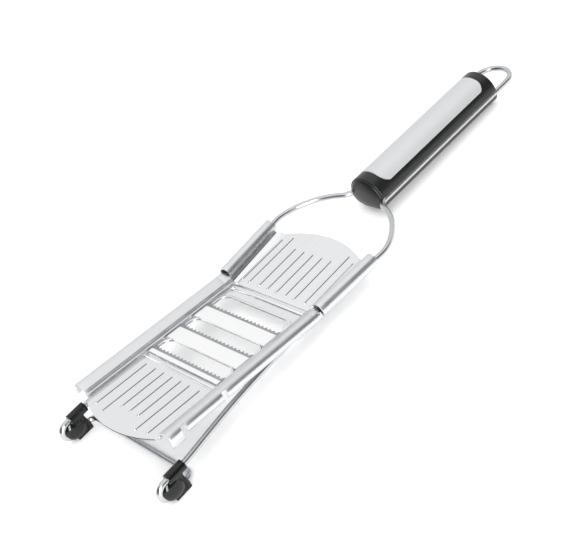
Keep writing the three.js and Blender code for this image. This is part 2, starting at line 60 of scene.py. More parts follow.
SOLE = 1.5              # thickness of the foot under the rod
TOE_X = 2.5
SHOULDER_X = 187.0
HANDLE_END = 349.8
HANDLE_DROP = 8.6
GRIP_Y = 12.6
LOOP_X = HANDLE_END + 12.5 - SHOULDER_X

# Drawing x is counted from under the toe bends, so the frame's own boxes place it.
toe_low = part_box("left_toe_wire")[0]
lower_run = SOLE + WIRE
toe_radius = (LEG_HEIGHT - lower_run) / 2
drawing_x = toe_low[0] / MM - (TOE_X - toe_radius - WIRE)
flat = Matrix.Translation(Vector((drawing_x, 0, 0)) * MM)
neck_tilt = math.asin((LEG_HEIGHT - HANDLE_DROP) / (HANDLE_END - SHOULDER_X))
neck_place = flat @ Matrix.Translation(Vector((SHOULDER_X, 0, LEG_HEIGHT)) * MM)
neck_place = neck_place @ Matrix.Rotation(neck_tilt, 4, "Y")


def arc(centre, radius, across, along, start, end, steps):
    """Points on an arc in the plane of two unit vectors, angles in degrees."""
    points = []
    for step in range(steps + 1):
        angle = math.radians(start + (end - start) * step / steps)
        points.append(Vector(centre) + radius * (math.cos(angle) * Vector(across)
                                                 + math.sin(angle) * Vector(along)))
    return points


def flowing(points, per_span):
    """A centripetal Catmull-Rom curve through the points."""
    points = [Vector(point) for point in points]
    first = 2 * points[0] - points[1]
    last = 2 * points[-1] - points[-2]
    chain = [first, *points, last]
    curve = []
    for a, b, c, d in zip(chain, chain[1:], chain[2:], chain[3:]):
        t1 = (b - a).length ** 0.5
        t2 = t1 + (c - b).length ** 0.5
        t3 = t2 + (d - c).length ** 0.5
        for step in range(per_span):
            t = t1 + (t2 - t1) * step / per_span
            ab = a.lerp(b, t / t1)
            bc = b.lerp(c, (t - t1) / (t2 - t1))
            cd = c.lerp(d, (t - t2) / (t3 - t2))
            abc = ab.lerp(bc, t / t2)
            bcd = bc.lerp(cd, (t - t1) / (t3 - t1))
            curve.append(abc.lerp(bcd, (t - t1) / (t2 - t1)))
    curve.append(points[-1])
    return curve


def placed(name, data, place):
    """Links a mesh, curve, lamp or camera into the scene at a place."""
    made = bpy.data.objects.new(name, data)
    bpy.context.collection.objects.link(made)
    made.matrix_world = place
    return made


def shaded(mesh, sharp):
    """Smooth shading except at edges sharper than an angle in degrees."""
    mesh.shade_smooth()
    mesh.set_sharp_from_angle(angle=math.radians(sharp))


def mesh_of(name, points, faces, material, sharp):
    """A mesh from points in millimetres, with one material."""
    mesh = bpy.data.meshes.new(name)
    mesh.from_pydata([Vector(point) * MM for point in points], [], faces)
    shaded(mesh, sharp)
    mesh.materials.append(material)
    return mesh


def piece_of(mesh, place):
    """Places a mesh as a piece of the one rigid body, named like the mesh."""
    piece = placed(mesh.name, mesh, place)
    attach(piece, "root")
    return piece


def mesh_piece(name, points, faces, place, material, sharp):
    """A new piece from points in the frame of its place."""
    return piece_of(mesh_of(name, points, faces, material, sharp), place)


def ring_faces(count, width, closed=False):
    """Quads that join rings of points, with a flat face at each end unless the row is closed."""
    faces = []
    for ring in range(count if closed else count - 1):
        here = ring * width
        there = (ring + 1) % count * width
        for step in range(width):
            turn = (step + 1) % width
            faces.append((here + step, here + turn, there + turn, there + step))
    if not closed:
        faces.append(tuple(reversed(range(width))))
        faces.append(tuple(range((count - 1) * width, count * width)))
    return faces


def rod_surface(path, radius, sides, closed):
    """Rings round a path, turned as little as possible from one to the next."""
    count = len(path)
    tangents = []
    for index in range(count):
        ahead = path[(index + 1) % count] if closed else path[min(index + 1, count - 1)]
        behind = path[index - 1] if closed else path[max(index - 1, 0)]
        tangents.append((ahead - behind).normalized())
    normal = tangents[0].orthogonal().normalized()
    frames = []
    for tangent in tangents:
        normal = (normal - tangent * normal.dot(tangent)).normalized()
        frames.append((normal, tangent.cross(normal)))
    twist = 0.0
    if closed:
        back = (normal - tangents[0] * normal.dot(tangents[0])).normalized()
        start, side = frames[0]
        twist = -math.atan2(back.dot(side), back.dot(start))
    points = []
    for index, (point, (across, along)) in enumerate(zip(path, frames)):
        for side in range(sides):
            angle = 2 * math.pi * side / sides + twist * index / count
            points.append(point + radius * (math.cos(angle) * across + math.sin(angle) * along))
    return points, ring_faces(count, sides, closed)


def colour(hex_value):
    """A hex sRGB colour as linear red, green, blue and alpha."""
    linear = []
    for shift in (16, 8, 0):
        level = (hex_value >> shift & 255) / 255
        linear.append(level / 12.92 if level <= 0.04045 else ((level + 0.055) / 1.055) ** 2.4)
    return (*linear, 1.0)


def node(owner, kind, links=(), settings=(), **sockets):
    """Adds a shader node: its settings, its socket values, and links into its sockets."""
    made = owner.node_tree.nodes.new(kind)
    for name, value in dict(settings).items():
        setattr(made, name, value)
    for name, value in sockets.items():
        made.inputs[name.replace("_", " ")].default_value = value
    for name, (source, output) in dict(links).items():
        owner.node_tree.links.new(source.outputs[output], made.inputs[name])
    return made


def noise(owner, vector, grain_mm, detail, roughness):
    """Procedural grain whose size is given in millimetres."""
    return node(owner, "ShaderNodeTexNoise", {"Vector": vector},
                Scale=1 / (grain_mm * MM), Detail=detail, Roughness=roughness)


def remap(owner, value, given, wanted=(0.0, 1.0), shape="LINEAR"):
    """Turns the given range of a value into the wanted one."""
    return node(owner, "ShaderNodeMapRange", {"Value": value}, {"interpolation_type": shape},
                From_Min=given[0], From_Max=given[1], To_Min=wanted[0], To_Max=wanted[1])


def combined(owner, operation, first, second):
    """The output of a maths node that joins two values."""
    made = node(owner, "ShaderNodeMath", {0: first, 1: second}, {"operation": operation})
    return made, "Value"


def blank(owner):
    """Clears the nodes of a new material or world."""
    owner.use_nodes = True
    owner.node_tree.nodes.clear()
    return owner


def finish_surface(material, links, **sockets):
    """The shader and output that every material of this slicer ends in."""
    surface = node(material, "ShaderNodeBsdfPrincipled", links, **sockets)
    node(material, "ShaderNodeOutputMaterial", {"Surface": (surface, "BSDF")})


def steel(name, tint, tint_dark, grain_mm, rough, bump, smudge_mm=14, metallic=1.0):
    """Stainless steel with faint clouding and fine lines along X, 25 times as long as wide."""
    material = blank(bpy.data.materials.new(name))
    place = node(material, "ShaderNodeTexCoord")
    stretch = node(material, "ShaderNodeMapping", {"Vector": (place, "Object")},
                   Scale=(1 / 25, 1.0, 1.0))
    lines = noise(material, (stretch, "Vector"), grain_mm, detail=4.0, roughness=0.65), "Fac"
    clouds = noise(material, (place, "Object"), smudge_mm, detail=3.0, roughness=0.55), "Fac"
    tone = node(material, "ShaderNodeMix", {"Factor": lines}, {"data_type": "RGBA"})
    tone.inputs[6].default_value = colour(tint_dark)
    tone.inputs[7].default_value = colour(tint)
    roughness = remap(material, combined(material, "ADD", lines, clouds), (0.6, 1.4), rough)
    relief = node(material, "ShaderNodeBump", {"Height": lines}, Strength=bump, Distance=0.05 * MM)
    finish_surface(material, {"Base Color": (tone, 2), "Roughness": (roughness, "Result"),
                              "Normal": (relief, "Normal")}, Metallic=metallic)
    return material


# Polished 304 stainless: near-mirror, with drawing lines too fine to part, drawn here at 0.5 mm.
polished_rod = steel("polished_stainless_rod", tint=0xC6C8CA, tint_dark=0xBDBFC2, grain_mm=0.5,
                     rough=(0.2, 0.27), bump=0.02)


def sleeve_y(x):
    """The rod's line beside the ramp, where it splays a little towards the handle."""
    return ROLL_Y + SLEEVE_SPLAY * (x - SLEEVE_START) / SLEEVE_LENGTH


def neck_point(x, y):
    """A point of the neck, from the shoulder and in the tilted plane of the handle."""
    drop = max(x, 0) * math.sin(neck_tilt)
    return Vector((SHOULDER_X + x * math.cos(neck_tilt), y, LEG_HEIGHT - drop))


def half_rod():
    """The rod's centre line on the left side, from the crossbar's middle to the loop's tip."""
    bar_x = 18.8
    corner = 4.6
    shoulder = 44.4
    run = [Vector((bar_x, y, lower_run)) for y in (0, 10, 20, 30)]
    run += arc((bar_x - corner, FOOT_Y - corner, lower_run), corner, (1, 0, 0), (0, 1, 0), 0, 90, 10)
    run += arc((TOE_X, FOOT_Y, lower_run + toe_radius), toe_radius,
               (-1, 0, 0), (0, 0, 1), -90, 90, 24)
    free = [Vector((x, y, LEG_HEIGHT)) for x, y in (
        (11.3, FOOT_Y), (19.3, FOOT_Y), (40, FOOT_Y - 2.2), (62, WAIST_Y + 1),
        (84, WAIST_Y + 0.1), (110, WAIST_Y),
        *((x, sleeve_y(x)) for x in (137.4, 158.6, 177.2)))]
    free += [neck_point(x, y) for x, y in (
        (-2, shoulder - 0.2), (4.6, shoulder - 0.1), (13.5, shoulder - 3),
        (21.5, shoulder - 7.9), (28.5, shoulder - 14), (34.2, shoulder - 22),
        (37.4, shoulder - 28), (40.6, GRIP_Y + 0.9), (44.4, GRIP_Y), (49.4, GRIP_Y),
        (110, GRIP_Y), (LOOP_X, GRIP_Y))]
    run += flowing(free, 12)[:-1]
    tip = arc((LOOP_X, 0, 0), GRIP_Y, (0, 1, 0), (1, 0, 0), 0, 90, 20)
    run += [neck_point(point.x, point.y) for point in tip]
    return run


left_half = half_rod()
right_half = [Vector((point.x, -point.y, point.z)) for point in reversed(left_half[1:-1])]
rod_points, rod_faces = rod_surface(left_half + right_half, WIRE, sides=24, closed=True)
rod = mesh_piece("frame_rod", rod_points, rod_faces, flat, polished_rod, 35)
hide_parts("hanging_loop_wire", "crossbar_wire", "left_neck_wire", "right_neck_wire",
            "left_leg_wire", "right_leg_wire", "left_toe_wire", "right_toe_wire")

# ------------------------------------------------------------------------------ ribbed plates
# Feed ramp and landing plate: 0.8 mm stainless sheet, blanked, with long beads pressed up so
# that food slides without sticking. The ramp's sides are flared, and both outer edges are arched.
SHEET = 0.8
GAP = 0.3           # between neighbouring parts
SOFT_EDGE = 0.12    # deburred edge of a cut sheet
BEAD_HALF = 0.9
BEAD_HEIGHT = 0.62
BEAD_FLANK = 0.68   # share of the half width taken by the flank
BEAD_MARGIN = 3.8   # from a sheet's straight edge to its beads
NOSE_REACH = 1.0
NOSE_FALL = 0.8
SEAM_X = 134.5
RAMP_HEIGHT = 10.8

# Bright annealed sheet: soft mirror with faint rolling lines, drawn at 0.8 mm so they show.
bright_sheet = steel("bright_annealed_stainless_sheet", tint=0xECEDEE, tint_dark=0xDFE0E2,
                     grain_mm=0.8, rough=(0.12, 0.22), bump=0.04)


def bead_rise(x, y, beads):
    """Height of the pressed beads, which are given as (y, from x, to x)."""
    rise = 0.0
    for bead_y, low, high in beads:
        along = min(max(x, low + BEAD_HALF), high - BEAD_HALF)
        away = math.hypot(x - along, y - bead_y) / BEAD_HALF
        if away < 1:
            flank = min(1, (1 - away) / BEAD_FLANK)
            rise = max(rise, BEAD_HEIGHT * flank * flank * (3 - 2 * flank))
    return rise


def filled_in(marks, spacing):
    """The places in order, with more between them where they are further apart than a spacing."""
    ordered = sorted(marks)
    filled = []
    for low, high in zip(ordered, ordered[1:]):
        parts = max(1, round((high - low) / spacing))
        filled += [low + (high - low) * part / parts for part in range(parts)]
    return filled + [ordered[-1]]


def bead_columns(places, inner):
    """Places across the sheet, close together over each bead and sparse between."""
    shares = (0.32, 0.42, 0.54, 0.66, 0.78, 0.9, 1, 1.15)
    columns = {-inner, inner}
    for place in places:
        columns.update(place + BEAD_HALF * side * share for side in (-1, 1) for share in shares)
        columns.add(place)
    return filled_in(columns, 2.5)


def row_places(end, beads):
    """Distances along the sheet, close together where a bead begins or ends."""
    shares = (-0.2, 0, 0.1, 0.22, 0.34, 0.46, 0.58, 0.68, 1)
    marks = {0.0, end, *(NOSE_REACH * share for share in (0.03, 0.13, 0.29, 0.5, 0.74, 1))}
    for _, low, high in beads:
        for tip, way in ((low, 1), (high, -1)):
            marks.update(tip + way * BEAD_HALF * share for share in shares)
    return filled_in((mark for mark in marks if 0 <= mark <= end), 3)


def nose_drop(along):
    """How far the straight edge of the sheet is rolled down."""
    inward = max(0, 1 - along / NOSE_REACH)
    return NOSE_FALL * (1 - math.sqrt(1 - inward ** 2))


def soften_edges(piece, width, angle):
    """Rounds the edges of a piece that are sharper than an angle in degrees."""
    soften = piece.modifiers.new("deburred edges", "BEVEL")
    soften.width = width * MM
    soften.segments = 2
    soften.limit_method = "ANGLE"
    soften.angle_limit = math.radians(angle)


def sheet_from_rows(name, rows, place, thickness=SHEET, edge=SOFT_EDGE, material=bright_sheet):
    """A pressed sheet from rows of points on its upper face, given thickness and soft edges."""
    width = len(rows[0])
    points = [Vector(point) for row in rows for point in row]
    faces = []
    facing = 0.0
    for row in range(len(rows) - 1):
        for column in range(width - 1):
            first = row * width + column
            face = (first, first + 1, first + width + 1, first + width)
            a, b, c, d = (points[corner] for corner in face)
            facing += (c - a).cross(d - b).z
            faces.append(face)
    if facing < 0:
        faces = [face[::-1] for face in faces]
    piece = mesh_piece(name, points, faces, place, material, 60)
    solid = piece.modifiers.new("sheet thickness", "SOLIDIFY")
    solid.thickness = thickness * MM
    solid.offset = -1
    soften_edges(piece, edge, 50)
    return piece


def mirrored_beads(lengths):
    """Beads as (y, from, to) on both sides, counted along the sheet from its straight edge."""
    beads = []
    for place, length in lengths.items():
        beads += [(y, BEAD_MARGIN, BEAD_MARGIN + length) for y in sorted({place, -place})]
    return beads


def arched_sheet(start, direction, length, arch, half, flare, beads, level, side):
    """Rows of a ribbed sheet whose far edge is an arc that stands out by arch.

    The sheet runs from start in a direction along X, and side(share) gives its borders there."""
    wide = half + flare
    radius = (wide ** 2 + arch ** 2) / (2 * arch)
    fan_margin = 0.3
    fan_start = length - arch - fan_margin
    fan = 24
    columns = bead_columns([bead[0] for bead in beads], half - 0.05)
    places = [(mark, 0.0) for mark in row_places(fan_start, beads)]
    places += [(fan_start, step / fan) for step in range(1, fan + 1)]
    rows = []
    for mark, fanned in places:
        share = mark / fan_start
        border = [(flare * share + out, up) for out, up in side(share)]
        profile = [(-half - out, up) for out, up in reversed(border)]
        profile += [(y, 0.0) for y in columns]
        profile += [(half + out, up) for out, up in border]
        row = []
        for y, up in profile:
            bound = min(abs(y), wide)
            edge = length - radius + math.sqrt(radius ** 2 - bound ** 2)
            along = mark + (edge - mark) * fanned
            up += bead_rise(along, y, beads) - nose_drop(along)
            row.append((start + direction * along, y, level + up))
        rows.append(row)
    return rows


def ramp_side(share):
    """The ramp's flared border: a rounded bend, then a slope that widens to the handle's end."""
    rise = 0.75 + 1.55 * share
    reach = 2.6 + 1.3 * share
    bend_out, bend_up = 0.7, 0.18
    slope = [(bend_out + (reach - bend_out) * step, rise * (bend_up + (1 - bend_up) * step))
             for step in (0.5, 1)]
    return [(0.15, 0), (0.35, rise * 0.05), (bend_out, rise * bend_up), *slope]


ramp_beads = mirrored_beads({0: 35.7, 7.6: 35.7, 15.2: 35.7, 23.8: 43.2, 30.05: 39.3})
ramp_rows = arched_sheet(start=SEAM_X - GAP, direction=1, length=55.8, arch=8.5, half=31.2, flare=1.0,
                         beads=ramp_beads, level=RAMP_HEIGHT, side=ramp_side)
ramp = sheet_from_rows("feed_ramp", ramp_rows, flat)
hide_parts("ramp_plate")

# The bed rises from the seam towards the feet. Its own x is zero at the seam and falls from there.
BED_TILT = math.radians(8)
BED_SEAM_HEIGHT = 10.5
BED_HALF = 31.7
FIRST_EDGE = 22.2   # from the seam to the first blade's edge
BLADE_PITCH = 22.0
LAST_MARGIN = 6.5   # from the last blade's edge to the end of the bed
BED_END = FIRST_EDGE + 2 * BLADE_PITCH + LAST_MARGIN
LANDING_STRIP = 3.0  # width of the strip between bed and landing plate
bed_place = flat @ Matrix.Translation(Vector((SEAM_X, 0, BED_SEAM_HEIGHT)) * MM)
bed_place = bed_place @ Matrix.Rotation(BED_TILT, 4, "Y")


def landing_side(_share):
    """The landing plate's border only rolls over a little before it meets the rail."""
    return [(0.2, -0.02), (0.45, -0.14)]


landing_beads = mirrored_beads({0: 32.7, 7.6: 32.7, 15.1: 41.3, 23.7: 39.1})
landing_start = -BED_END - LANDING_STRIP - 2 * GAP
landing_rows = arched_sheet(start=landing_start, direction=-1, length=51.0, arch=7.8,
                            half=BED_HALF - 0.75, flare=0.3, beads=landing_beads, level=0,
                            side=landing_side)
landing = sheet_from_rows("landing_plate_sheet", landing_rows, bed_place)
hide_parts("landing_plate")

# ------------------------------------------------------------------------------ ramp sleeves
# Two strips of the same sheet, rolled round the rod beside the ramp. The web of each runs under
# the ramp's floor, where it is spot welded.
ROLL = 3.8          # outer radius of a roll
WELD_FLANGE = 14.0  # from the rod to the end of the web
SIDES = ((1, "left"), (-1, "right"))

# Sheet after rolling: the same steel, a little duller where the tools have rubbed it.
rolled_sheet = steel("rolled_stainless_sheet", tint=0xDEDFE1, tint_dark=0xCCCED0, grain_mm=0.7,
                     rough=(0.26, 0.38), bump=0.05)


def folded_strip(name, side, line, length, place):
    """Sheet bent to a line of (y, z) points on its outer face and run along +X."""
    sections = max(2, round(length / 4))
    rows = []
    for step in range(sections + 1):
        rows.append([(length * step / sections, y * side, z) for y, z in line])
    return sheet_from_rows(name, rows, place, material=rolled_sheet)


def bend(centre_y, centre_z, radius, start, end, steps):
    """Points (y, z) on a bend, angles in degrees from +Y."""
    return [(point.x, point.y) for point in
            arc((centre_y, centre_z, 0), radius, (1, 0, 0), (0, 1, 0), start, end, steps)]


roll_z = LEG_HEIGHT + ROLL - SHEET - WIRE - GAP - RAMP_HEIGHT
web_z = -SHEET - GAP
roll_line = bend(0, roll_z, ROLL, 200, -110, 44)
web_line = [(-1.4, roll_z - ROLL + 0.12), (-2.6, web_z - 0.62), (-4.6, web_z), (-WELD_FLANGE, web_z)]
for side, word in SIDES:
    corner = Vector((SLEEVE_START, side * sleeve_y(SLEEVE_START), RAMP_HEIGHT))
    turn = Matrix.Rotation(side * math.atan2(SLEEVE_SPLAY, SLEEVE_LENGTH), 4, "Z")
    sleeve = folded_strip(word + "_rolled_sleeve", side, roll_line + web_line, SLEEVE_LENGTH,
                          flat @ Matrix.Translation(corner * MM) @ turn)
    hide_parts(word + "_ramp_sleeve")

# ------------------------------------------------------------------------------ blade bed
# The sheet that carries the blades: three round-ended slots are blanked out and their rims are
# drawn up into a smooth lip, which guides the slices.
SLOT_HALF = 29.0
SLOT_OPENINGS = (10.0, 8.2, 8.2)  # in front of each blade's edge
SLOT_CORNER = 5.2
BEVEL_WIDTH = 3.6   # of the blades, which each slot runs back under
BED_START = 5.6
RIM_RADIUS = 1.0
RIM_OFFSET = 0.9    # from the slot's edge to the middle of its drawn rim
RIM_DEPTH = 0.35


def slot_outline(front, back):
    """A slot's outline with round corners, as points in the plane of the bed."""
    corners = ((front - SLOT_CORNER, 1, 0), (back + SLOT_CORNER, 1, 90),
               (back + SLOT_CORNER, -1, 180), (front - SLOT_CORNER, -1, 270))
    points = []
    for x, side, start in corners:
        centre = (x, side * (SLOT_HALF - SLOT_CORNER), 0)
        points += arc(centre, SLOT_CORNER, (1, 0, 0), (0, 1, 0), start, start + 90, 10)
    return points


def blade_edge(index):
    """Where a blade's cutting edge lies along the bed."""
    return -FIRST_EDGE - index * BLADE_PITCH


bed_curve = bpy.data.curves.new("blade_bed_outline", "CURVE")
bed_curve.dimensions = "2D"
bed_curve.fill_mode = "BOTH"
bed_curve.extrude = (SHEET / 2 - SOFT_EDGE) * MM
bed_curve.bevel_depth = SOFT_EDGE * MM
bed_curve.bevel_resolution = 2
outlines = [[Vector((x, y, 0)) for x, y in ((-BED_START, -BED_HALF), (-BED_START, BED_HALF),
                                            (-BED_END, BED_HALF), (-BED_END, -BED_HALF))]]
for index, opening in enumerate(SLOT_OPENINGS):
    outlines.append(slot_outline(blade_edge(index) + opening, blade_edge(index) - BEVEL_WIDTH))
for outline in outlines:
    spline = bed_curve.splines.new("POLY")
    spline.points.add(len(outline) - 1)
    spline.use_cyclic_u = True
    for point, target in zip(outline, spline.points):
        target.co = (point.x * MM, point.y * MM, 0, 1)
bed_outline = placed("blade_bed_outline", bed_curve, Matrix.Identity(4))
bed_mesh = bpy.data.meshes.new_from_object(bed_outline)
bpy.data.objects.remove(bed_outline)
bed_mesh.transform(Matrix.Translation((0, 0, -SHEET / 2 * MM)))
bed_mesh.name = "slotted_blade_bed"
shaded(bed_mesh, 50)
bed_mesh.materials.clear()
bed_mesh.materials.append(bright_sheet)
bed = piece_of(bed_mesh, bed_place)
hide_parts("blade_bed")

for index, opening in enumerate(SLOT_OPENINGS):
    turn_x = blade_edge(index) + opening - SLOT_CORNER
    back = Vector((blade_edge(index) - 0.6, 0, -RIM_DEPTH))
    near = Vector((0, SLOT_HALF + RIM_OFFSET, 0))
    lip = [back - near, Vector((turn_x, -near.y, -RIM_DEPTH))]
    for side in (-1, 1):
        centre = (turn_x, side * (SLOT_HALF - SLOT_CORNER), -RIM_DEPTH)
        start = 0 if side > 0 else -90
        lip += arc(centre, SLOT_CORNER + RIM_OFFSET, (1, 0, 0), (0, 1, 0), start, start + 90, 12)
    lip.append(back + near)
    rim_points, rim_faces = rod_surface(lip, RIM_RADIUS, sides=16, closed=False)
    mesh_piece(f"slot_{index + 1}_drawn_rim", rim_points, rim_faces, bed_place, bright_sheet,
               60)

# ------------------------------------------------------------------------------ cross strips
# Narrow folded strips that close the joints: one between ramp and bed, one between the bed and
# the landing plate. The crease along each reads as the line between two folds.
RAMP_STRIP = 4.2
HAIRLINE = 0.2      # depth of the crease along the middle


def cross_strip(name, width, half, top, crown, place, middle):
    """A strip across the slicer with a rolled crown and turned-down edges."""
    side = (0.05, 0.1, 0.5, 0.7, 0.84, 0.93, 0.98, 1)
    shares = [-share for share in reversed(side)] + [0, *side]
    rows = []
    for y in (-half, 0, half):
        row = []
        for share in shares:
            lift = crown * math.sqrt(1 - abs(share) ** 3) - (0 if share else HAIRLINE)
            row.append((middle + width / 2 * share, y, top - crown + lift))
        rows.append(row)
    return sheet_from_rows(name, rows, place, thickness=0.7, edge=0.08)


ramp_joint = cross_strip("ramp_joint_strip", width=RAMP_STRIP, half=30.2, top=RAMP_HEIGHT + 0.8,
                         crown=1.0, place=flat, middle=SEAM_X - 2 * GAP - RAMP_STRIP / 2)
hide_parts("upper_cross_strip")
landing_joint = cross_strip("landing_joint_strip", width=LANDING_STRIP, half=BED_HALF - 0.6, top=0.45,
                            crown=0.5, place=bed_place, middle=-BED_END - GAP - LANDING_STRIP / 2)
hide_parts("lower_cross_strip")

# ------------------------------------------------------------------------------ blades
# Three strips of hardened stainless, laid on the bed with the serrated edge raised over the slot.
# The edge is ground to a long bevel and the teeth are ground across it as shallow flutes.
ground_blade = steel("ground_blade_stainless", tint=0xFCFCFC, tint_dark=0xF4F5F5, grain_mm=0.6,
                     rough=(0.2, 0.3), bump=0.04)
honed_bevel = steel("honed_bevel_stainless", tint=0xB4B6B9, tint_dark=0x8F9296, grain_mm=0.35,
                    rough=(0.26, 0.4), bump=0.3)
TEETH = 18
TOOTH_STEPS = 8
TOOTH_DEPTH = 1.5
BLADE_TOP = 1.35
BLADE_UNDERSIDE = 0.32
BLADE_OVERLAP = 1.5     # past the slot's ends


def blade_mesh(edge, back):
    """Upper and lower faces of one blade: flat strip, long bevel and fluted teeth."""
    half = SLOT_HALF + BLADE_OVERLAP
    bevel = edge - BEVEL_WIDTH
    steps = TEETH * TOOTH_STEPS
    columns = [-half, -half + 0.3]
    columns += [-SLOT_HALF + 2 * SLOT_HALF * step / steps for step in range(steps + 1)]
    columns += [half - 0.3, half]
    points = []
    for y in columns:
        flute = abs(math.sin(math.pi * (y + SLOT_HALF) / (2 * SLOT_HALF) * TEETH))
        bite = TOOTH_DEPTH * (flute if abs(y) <= SLOT_HALF else 0)
        tip = edge - bite
        upper = [(back, 0), (back + 1.5, 0), (bevel - 0.4, 0), (bevel, 0.03),
                 (edge - BEVEL_WIDTH * 0.72, 0.2 + 0.02 * bite),
                 (edge - BEVEL_WIDTH * 0.5, 0.36 + 0.12 * bite),
                 (tip - 0.25, 0.66 + 0.05 * bite), (tip, 0.78), (tip - 0.2, 0.86)]
        points += [(x, y, BLADE_TOP - drop) for x, drop in upper]
        points += [(bevel, y, BLADE_UNDERSIDE + 0.04), (back, y, BLADE_UNDERSIDE)]
    faces = ring_faces(len(columns), len(points) // len(columns))
    return points, [(face[0], *face[:0:-1]) for face in faces]


for index in range(len(SLOT_OPENINGS)):
    back = -BED_END
    if index + 1 < len(SLOT_OPENINGS):
        back = blade_edge(index + 1) + SLOT_OPENINGS[index + 1]
    blade_points, blade_faces = blade_mesh(blade_edge(index), back)
    blade = mesh_piece(f"serrated_blade_{index + 1}", blade_points, blade_faces, bed_place,
                       ground_blade, 25)
    blade.data.materials.append(honed_bevel)
    bevel_start = (blade_edge(index) - BEVEL_WIDTH - 0.05) * MM
    for face in blade.data.polygons:
        if face.center.x > bevel_start:
            face.material_index = 1
    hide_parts(f"blade_{index + 1}")

# ------------------------------------------------------------------------------ side rails
# Long strips folded up from under the bed: a stepped wall, a flat ledge and a roll that hides
# the rod. The roll is parted by two notches, and its end is folded down as a tab.
RAIL_START = 0.6
RAIL_LENGTH = 117.0
RAIL_END = -RAIL_START - RAIL_LENGTH
HEAD_LENGTH = 5.6   # the end beside the ramp is a piece of its own
TAB_LENGTH = 8.5
NOTCH = 3.0
SHORT_SKIRT = 27.0
LEDGE = 3.7
ROLL_LIFT = 2.2


def rail_piece(name, side, start, end, line):
    """A part of a rail between two places along the bed."""
    place = bed_place @ Matrix.Translation(Vector((start, 0, 0)) * MM)
    return folded_strip(name, side, line, end - start, place)


wall = [(32.25, -0.9), (32.3, 0.9), (32.5, 1.25), (33.3, 1.35), (33.55, 1.6), (33.65, 3.2),
        (33.9, 3.65), (34.4, LEDGE + 0.15), (35.4, 4.3), (36.6, 4.85), (37.8, 5.4), (38.8, 5.8)]
over = bend(ROLL_Y, ROLL_LIFT, ROLL, 100, 62, 10)
skirt = bend(ROLL_Y, ROLL_LIFT, ROLL, 60, -36, 20)
tab = bend(ROLL_Y, ROLL_LIFT, ROLL, 60, 0, 12)
tab += [(ROLL_Y + ROLL, -1.9), (ROLL_Y + ROLL - 0.35, -2.6)]
short_start = RAIL_END + TAB_LENGTH + NOTCH
long_start = short_start + SHORT_SKIRT + NOTCH
head_start = -RAIL_START - HEAD_LENGTH
for side, word in SIDES:
    ledge = rail_piece(word + "_rail", side, RAIL_END, head_start, wall + over)
    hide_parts(word + "_rail")
    rail_piece(word + "_rail_head", side, head_start, -RAIL_START, wall + over)
    skirts = ((long_start, -RAIL_START, skirt), (short_start, short_start + SHORT_SKIRT, skirt),
              (RAIL_END, RAIL_END + TAB_LENGTH, tab))
    for count, (start, end, line) in enumerate(skirts):
        rail_piece(f"{word}_rail_skirt_{count + 1}", side, start, end, [over[-1], *line])

# ------------------------------------------------------------------------------ feet
# Moulded black plastic, pushed over each toe bend of the rod: a sleeve on the upper run, a domed
# cheek that fills the bend, and a block with a flat sole. Two bowed grooves mark each cheek.
SLEEVE_RADIUS = 3.28
CHEEK = 3.2             # from the middle plane to a cheek of the foot
VOXEL = 0.2             # grid of the remesh that fuses the shapes

glossy_foot = blank(bpy.data.materials.new("glossy_moulded_polypropylene"))
foot_spot = node(glossy_foot, "ShaderNodeTexCoord")
foot_grain = noise(glossy_foot, (foot_spot, "Object"), grain_mm=0.9, detail=3.0, roughness=0.6)
foot_rough = remap(glossy_foot, (foot_grain, "Fac"), (0.0, 1.0), (0.08, 0.16))
foot_bump = node(glossy_foot, "ShaderNodeBump", {"Height": (foot_grain, "Fac")},
                 Strength=0.08, Distance=0.1 * MM)
finish_surface(glossy_foot, {"Roughness": (foot_rough, "Result"), "Normal": (foot_bump, "Normal")},
               Base_Color=colour(0x0A0B0C), Specular_IOR_Level=0.4)


def fused_body(name, shapes, grooves, place, material):
    """Moulded body: closed shapes fused by a voxel remesh, grooves cut, then smoothed."""
    union = bmesh.new()
    for make in shapes:
        make(union)
    mesh = bpy.data.meshes.new(name + "_shapes")
    union.to_mesh(mesh)
    union.free()
    body = placed(name + "_shapes", mesh, Matrix.Identity(4))
    fuse = body.modifiers.new("fuse", "REMESH")
    fuse.mode = "VOXEL"
    fuse.voxel_size = VOXEL * MM
    cutters = []
    for make in grooves:
        groove = bmesh.new()
        make(groove)
        cutter_mesh = bpy.data.meshes.new("groove")
        groove.to_mesh(cutter_mesh)
        groove.free()
        cutters.append(placed("groove", cutter_mesh, Matrix.Identity(4)))
        cut = body.modifiers.new("cut", "BOOLEAN")
        cut.operation = "DIFFERENCE"
        cut.object = cutters[-1]
    again = body.modifiers.new("fuse again", "REMESH")
    again.mode = "VOXEL"
    again.voxel_size = VOXEL * MM
    smooth = body.modifiers.new("mould radii", "SMOOTH")
    smooth.factor = 0.5
    smooth.iterations = 4
    depsgraph = bpy.context.evaluated_depsgraph_get()
    fused = bpy.data.meshes.new_from_object(body.evaluated_get(depsgraph))
    for helper in (body, *cutters):
        bpy.data.objects.remove(helper)
    fused.name = name
    fused.shade_smooth()
    fused.materials.clear()
    fused.materials.append(material)
    return piece_of(fused, place)


def tube_along_x(x, length, z, radius):
    """A round bar along X."""
    def make(mesh):
        middle = Matrix.Translation(Vector((x + length / 2, 0, z)) * MM)
        bmesh.ops.create_cone(mesh, cap_ends=True, segments=40, radius1=radius * MM,
                              radius2=radius * MM, depth=length * MM,
                              matrix=middle @ Matrix.Rotation(math.pi / 2, 4, "Y"))
    return make


